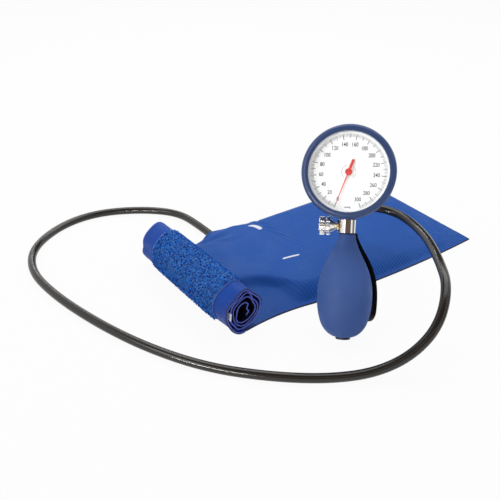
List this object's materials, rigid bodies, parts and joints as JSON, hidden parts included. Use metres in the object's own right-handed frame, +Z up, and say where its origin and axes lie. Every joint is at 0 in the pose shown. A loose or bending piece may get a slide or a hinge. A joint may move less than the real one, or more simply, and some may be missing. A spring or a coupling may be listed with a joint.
{
  "type": "aneroid sphygmomanometer",
  "caption": "Palm-held blood pressure gauge with squeeze bulb, air release knob and hand spoon, joined by a hose to a half-rolled fabric arm cuff.",
  "frame": {"origin": "on the table, under the middle of the flat part of the cuff", "axes": "+X to the right and +Y away as the dial is read, +Z up"},
  "size_m": [0.4337, 0.3389, 0.1571],
  "materials": {
    "blue_case": "satin enamel",
    "blue_rubber": "matt",
    "chrome": "polished",
    "silver_ring": "satin",
    "window": "clear",
    "dial_white": "matt print",
    "pointer_red": "satin",
    "brass": "machined",
    "steel": "machined",
    "bronze": "pressed",
    "seal_rubber": "matt",
    "black_plastic": "gloss",
    "black_hose": "semi-gloss",
    "blue_nylon": "ribbed woven nylon",
    "loop_fleece": "brushed loop pile",
    "hook_tape": "hook tape",
    "bladder_rubber": "matt",
    "white_label": "woven"
  },
  "bodies": {
    "frame": {"gauge_case": "blue_case", "bezel_ring": "blue_case", "lens": "window", "lens_spacer_ring": "silver_ring", "dial": "dial_white", "hairspring_stud": "brass", "movement_rear_plate": "brass", "movement_front_plate": "brass", "movement_pillars": "brass", "plate_screws": "steel", "capsule": "bronze", "capsule_stud": "brass", "inlet_manifold": "brass", "case_posts": "brass", "case_screws": "steel", "connector_block": "chrome", "hose_nozzle": "chrome", "valve_bush": "chrome", "gland_ring": "seal_rubber", "outlet_valve_seat": "brass", "outlet_valve_stop": "brass", "bulb": "blue_rubber", "inlet_valve_body": "blue_case", "inlet_valve_cage": "brass", "cuff_outer_cloth": "blue_nylon", "cuff_inner_cloth": "blue_nylon", "bladder": "bladder_rubber", "bladder_joiner": "black_plastic", "loop_patch": "loop_fleece", "hook_patch": "hook_tape", "sewn_tag": "white_label", "hose": "black_hose"},
    "sector": {"sector_gear": "brass"},
    "pointer": {"pointer": "pointer_red", "pinion_arbor": "steel", "hairspring": "bronze"},
    "rocker": {"rocker": "steel"},
    "capsule_post": {"capsule_post": "brass"},
    "needle_seal": {"needle_seal": "steel"},
    "release_knob": {"release_knob": "chrome", "release_spindle": "chrome"},
    "inlet_valve_disc": {"inlet_valve_disc": "seal_rubber"},
    "outlet_valve_disc": {"outlet_valve_disc": "seal_rubber"},
    "hand_spoon": {"hand_spoon": "black_plastic"}
  },
  "joints": [
    {"name": "sector_turn", "type": "hinge", "parent": "frame", "child": "sector", "pos_m": [0.02208, -0.10754, 0.11765], "axis": [-0.1995, -0.8643, 0.4617], "range_deg": [0, 26.67], "stiffness_Nm_per_rad": 0.002, "springref_deg": -17.19},
    {"name": "pointer_turn", "type": "hinge", "parent": "frame", "child": "pointer", "pos_m": [0.00245, -0.10758, 0.12426], "axis": [0.1995, 0.8643, -0.4617], "range_deg": [0, 320], "deforming": ["hairspring"]},
    {"name": "rocker_turn", "type": "hinge", "parent": "frame", "child": "rocker", "pos_m": [0.01227, -0.10007, 0.11374], "axis": [0.9794, -0.191, 0.0657], "range_deg": [0, 14]},
    {"name": "capsule_lift", "type": "slide", "parent": "frame", "child": "capsule_post", "axis": [-0.1995, -0.8643, 0.4617], "range_m": [0, 0.00125], "deforming": ["capsule"]},
    {"name": "needle_travel", "type": "slide", "parent": "frame", "child": "needle_seal", "axis": [-0.9794, 0.191, -0.0657], "range_m": [0, 0.00076]},
    {"name": "release_knob_turn", "type": "hinge", "parent": "needle_seal", "child": "release_knob", "pos_m": [-0.01071, -0.1117, 0.08009], "axis": [-0.9794, 0.191, -0.0657], "range_deg": [0, 540]},
    {"name": "inlet_disc_lift", "type": "slide", "parent": "frame", "child": "inlet_valve_disc", "axis": [0.0314, 0.4653, 0.8846], "range_m": [0, 0.0008]},
    {"name": "outlet_disc_lift", "type": "slide", "parent": "frame", "child": "outlet_valve_disc", "axis": [0.0314, 0.4653, 0.8846], "range_m": [0, 0.0008]},
    {"name": "spoon_swivel", "type": "hinge", "parent": "frame", "child": "hand_spoon", "pos_m": [0.0038, -0.11722, 0.07604], "axis": [0.0314, 0.4653, 0.8846], "range_deg": [0, 100]}
  ],
  "couplings": [
    {"joint": "pointer_turn", "follows": "sector_turn", "ratio": 12},
    {"joint": "rocker_turn", "follows": "sector_turn", "ratio": 0.525},
    {"joint": "capsule_lift", "follows": "sector_turn", "m_per_rad": 0.0026857},
    {"joint": "needle_travel", "follows": "release_knob_turn", "m_per_rad": 0.000079577}
  ]
}
